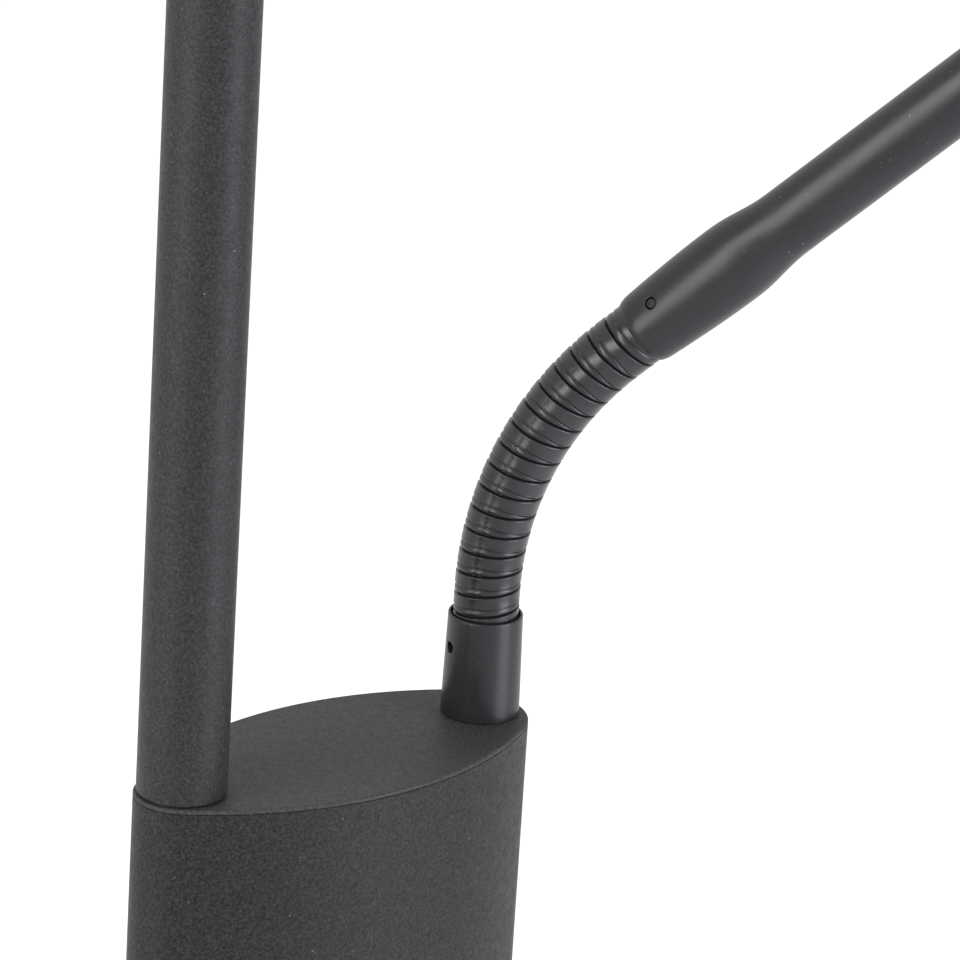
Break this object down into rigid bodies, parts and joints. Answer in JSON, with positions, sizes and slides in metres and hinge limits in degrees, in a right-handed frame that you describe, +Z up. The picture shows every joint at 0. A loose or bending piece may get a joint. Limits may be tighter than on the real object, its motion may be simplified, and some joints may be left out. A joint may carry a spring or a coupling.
{
  "type": "floor lamp",
  "caption": "Floor lamp: dished uplighter on a straight pole, oval control housing with dimmer knobs, and a spot reading light on a wound flexible neck and tube arm.",
  "frame": {"origin": "on the floor under the pole's axis, at the centre of the felt pad's underside", "axes": "+Z up along the pole, +X from the pole to the flexible neck along the oval housing"},
  "size_m": [0.513, 0.4735, 1.8],
  "materials": {
    "coat_black": "fine sand-textured black powder coat on steel",
    "coat_black_light": "fine sand-textured black powder coat on aluminium",
    "satin_black_light": "smooth satin black coat on aluminium",
    "satin_black": "smooth satin black coat on steel",
    "zinc_steel": "zinc plated",
    "black_oxide": "black oxide on steel",
    "cast_iron": "raw casting",
    "felt": "pressed felt",
    "rubber": "moulded",
    "black_plastic": "moulded, fine matte",
    "white_plastic": "moulded",
    "aluminium": "machined",
    "led_board": "white solder mask",
    "opal": "opal diffusing",
    "lead_sheath": "round sheath"
  },
  "bodies": {
    "lamp_body": {"lower_pole": "coat_black", "middle_pole": "coat_black", "upper_pole": "coat_black", "base_cover": "coat_black", "housing_bottom_cap": "coat_black_light", "housing_shell": "coat_black_light", "uplight_bowl": "coat_black_light", "housing_top_cap": "satin_black_light", "neck_socket": "satin_black", "base_washer": "zinc_steel", "base_nut": "zinc_steel", "pole_inserts": "zinc_steel", "pole_studs": "zinc_steel", "upper_pole_washer": "zinc_steel", "housing_tie_tube": "zinc_steel", "housing_tie_nuts": "zinc_steel", "bottom_cap_screws": "zinc_steel", "dimmer_nuts": "zinc_steel", "uplight_nut": "zinc_steel", "neck_socket_nut": "zinc_steel", "neck_socket_screw": "black_oxide", "base_ballast": "cast_iron", "base_felt_pad": "felt", "cord_inlet_bush": "rubber", "uplight_dimmer": "black_plastic", "reading_dimmer": "black_plastic", "driver_unit": "white_plastic", "uplight_heat_sink": "aluminium", "uplight_led_board": "led_board", "uplight_diffuser": "opal", "supply_lead": "lead_sheath", "uplight_lead": "lead_sheath"},
    "uplight_knob": {"uplight_knob": "black_plastic", "uplight_knob_shaft": "zinc_steel"},
    "reading_knob": {"reading_knob": "black_plastic", "reading_knob_shaft": "zinc_steel"},
    "neck_base": {"neck_root": "satin_black"},
    "neck_link_01": {"neck_turn_01": "satin_black"},
    "neck_link_02": {"neck_turn_02": "satin_black"},
    "neck_link_03": {"neck_turn_03": "satin_black"},
    "neck_link_04": {"neck_turn_04": "satin_black"},
    "neck_link_05": {"neck_turn_05": "satin_black"},
    "neck_link_06": {"neck_turn_06": "satin_black"},
    "neck_link_07": {"neck_turn_07": "satin_black"},
    "neck_link_08": {"neck_turn_08": "satin_black"},
    "neck_link_09": {"neck_turn_09": "satin_black"},
    "neck_link_10": {"neck_turn_10": "satin_black"},
    "neck_link_11": {"neck_turn_11": "satin_black"},
    "neck_link_12": {"neck_turn_12": "satin_black"},
    "neck_link_13": {"neck_turn_13": "satin_black"},
    "arm": {"neck_tip": "satin_black", "arm_tube": "satin_black_light", "arm_screws": "black_oxide", "reading_lead": "lead_sheath"},
    "head_swivel": {"head_swivel": "satin_black"},
    "head": {"head_shell": "satin_black_light", "head_tilt_screw": "black_oxide", "head_led_board": "led_board", "head_lens": "opal"}
  },
  "joints": [
    {"name": "uplight_dim", "type": "hinge", "parent": "lamp_body", "child": "uplight_knob", "pos_m": [0.0475, 0, 0.912], "axis": [0, -1, 0], "range_deg": [-270, 0]},
    {"name": "reading_dim", "type": "hinge", "parent": "lamp_body", "child": "reading_knob", "pos_m": [0.0475, 0, 0.878], "axis": [0, -1, 0], "range_deg": [-270, 0]},
    {"name": "neck_swing", "type": "hinge", "parent": "lamp_body", "child": "neck_base", "pos_m": [0.095, 0, 1.0135], "axis": [0, 0, 1], "range_deg": [-60, 155]},
    {"name": "neck_bend_01", "type": "hinge", "parent": "neck_base", "child": "neck_link_01", "pos_m": [0.095, 0, 1.0353], "axis": [0.7771, 0.6293, 0], "range_deg": [-3.31, 4.6], "deforming": ["reading_lead"]},
    {"name": "neck_bend_02", "type": "hinge", "parent": "neck_link_01", "child": "neck_link_02", "pos_m": [0.0952, -0.00025, 1.04079], "axis": [0.7771, 0.6293, 0], "range_deg": [-3.31, 4.6]},
    {"name": "neck_bend_03", "type": "hinge", "parent": "neck_link_02", "child": "neck_link_03", "pos_m": [0.0956, -0.00074, 1.04625], "axis": [0.7771, 0.6293, 0], "range_deg": [-3.31, 4.6]},
    {"name": "neck_bend_04", "type": "hinge", "parent": "neck_link_03", "child": "neck_link_04", "pos_m": [0.0962, -0.00148, 1.05167], "axis": [0.7771, 0.6293, 0], "range_deg": [-3.31, 4.6]},
    {"name": "neck_bend_05", "type": "hinge", "parent": "neck_link_04", "child": "neck_link_05", "pos_m": [0.09699, -0.00246, 1.05703], "axis": [0.7771, 0.6293, 0], "range_deg": [-3.31, 4.6]},
    {"name": "neck_bend_06", "type": "hinge", "parent": "neck_link_05", "child": "neck_link_06", "pos_m": [0.09798, -0.00368, 1.0623], "axis": [0.7771, 0.6293, 0], "range_deg": [-3.31, 4.6]},
    {"name": "neck_bend_07", "type": "hinge", "parent": "neck_link_06", "child": "neck_link_07", "pos_m": [0.09916, -0.00513, 1.06747], "axis": [0.7771, 0.6293, 0], "range_deg": [-3.31, 4.6]},
    {"name": "neck_bend_08", "type": "hinge", "parent": "neck_link_07", "child": "neck_link_08", "pos_m": [0.10052, -0.00682, 1.07252], "axis": [0.7771, 0.6293, 0], "range_deg": [-3.31, 4.6]},
    {"name": "neck_bend_09", "type": "hinge", "parent": "neck_link_08", "child": "neck_link_09", "pos_m": [0.10206, -0.00872, 1.07744], "axis": [0.7771, 0.6293, 0], "range_deg": [-3.31, 4.6]},
    {"name": "neck_bend_10", "type": "hinge", "parent": "neck_link_09", "child": "neck_link_10", "pos_m": [0.10379, -0.01085, 1.08222], "axis": [0.7771, 0.6293, 0], "range_deg": [-3.31, 4.6]},
    {"name": "neck_bend_11", "type": "hinge", "parent": "neck_link_10", "child": "neck_link_11", "pos_m": [0.10568, -0.01319, 1.08682], "axis": [0.7771, 0.6293, 0], "range_deg": [-3.31, 4.6]},
    {"name": "neck_bend_12", "type": "hinge", "parent": "neck_link_11", "child": "neck_link_12", "pos_m": [0.10773, -0.01573, 1.09125], "axis": [0.7771, 0.6293, 0], "range_deg": [-3.31, 4.6]},
    {"name": "neck_bend_13", "type": "hinge", "parent": "neck_link_12", "child": "neck_link_13", "pos_m": [0.10995, -0.01846, 1.09547], "axis": [0.7771, 0.6293, 0], "range_deg": [-3.31, 4.6]},
    {"name": "neck_bend_14", "type": "hinge", "parent": "neck_link_13", "child": "arm", "pos_m": [0.11231, -0.02138, 1.09949], "axis": [0.7771, 0.6293, 0], "range_deg": [-3.31, 4.6]},
    {"name": "head_turn", "type": "hinge", "parent": "arm", "child": "head_swivel", "pos_m": [0.31275, -0.26889, 1.40278], "axis": [0.4557, -0.5628, 0.6896], "range_deg": [-170, 170]},
    {"name": "head_tilt", "type": "hinge", "parent": "head_swivel", "child": "head", "pos_m": [0.32104, -0.27914, 1.41534], "axis": [0.7771, 0.6293, 0], "range_deg": [-90, 10]}
  ]
}
